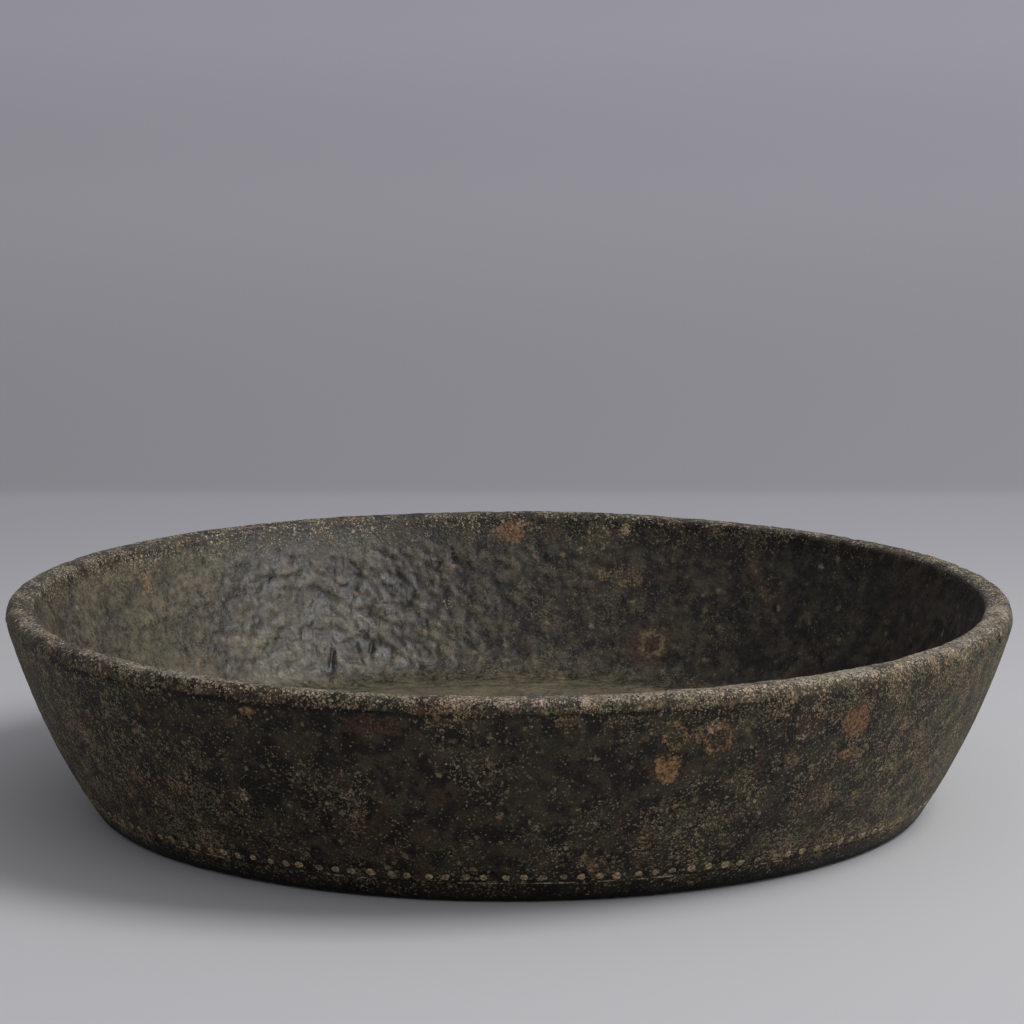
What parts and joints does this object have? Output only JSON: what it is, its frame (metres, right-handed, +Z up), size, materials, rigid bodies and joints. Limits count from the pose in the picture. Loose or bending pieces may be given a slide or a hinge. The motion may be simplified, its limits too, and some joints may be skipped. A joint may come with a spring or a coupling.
{
  "type": "carved wooden bowl",
  "caption": "Wide shallow round bowl carved from a single block of dark wood, with flaring walls, a soft round rim and a row of small pale plugs let in just above its flat base.",
  "frame": {"origin": "centre of the flat base, on the surface that the bowl stands on", "axes": "+Z up along the bowl's own axis, out of its mouth; X and Y lie in the base, and any turn about Z is equal apart from the handmade unevenness"},
  "size_m": [0.3, 0.3, 0.062],
  "materials": {
    "dark_wood": "satin",
    "pale_shell": "matte",
    "pale_lime": "matte"
  },
  "bodies": {
    "root": {"bowl_body": "dark_wood", "inlay_plugs": "pale_shell", "line_fill": "pale_lime"}
  },
  "joints": []
}
